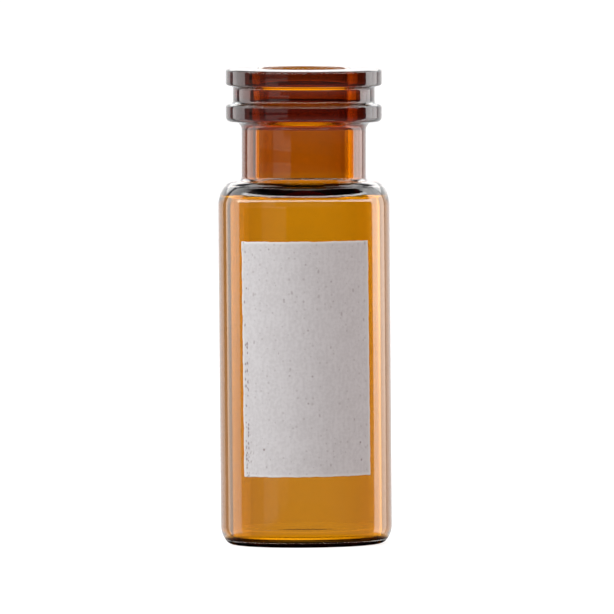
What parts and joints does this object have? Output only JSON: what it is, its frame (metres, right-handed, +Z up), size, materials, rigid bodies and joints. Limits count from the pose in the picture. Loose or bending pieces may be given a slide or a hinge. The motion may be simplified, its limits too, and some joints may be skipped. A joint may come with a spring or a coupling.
{
  "type": "glass sample vial",
  "caption": "Small amber glass vial with a flat base, rounded shoulder, short neck and two-ring snap cap finish, and a pale write-on patch on the front. Open and empty.",
  "frame": {"origin": "centre of the base, on the surface that the vial stands on", "axes": "+Z up along the vial's axis, out of the mouth; -Y is the front, where the write-on patch is centred; +X to the right seen from the front"},
  "size_m": [0.0116, 0.0117, 0.0322],
  "materials": {
    "amber_glass": "clear amber tubing glass, smooth fire-polished surfaces",
    "patch_enamel": "matt fired enamel, finely pitted, with nicks along its edges"
  },
  "bodies": {
    "root": {"glass_vial": "amber_glass", "write_on_patch": "patch_enamel"}
  },
  "joints": []
}
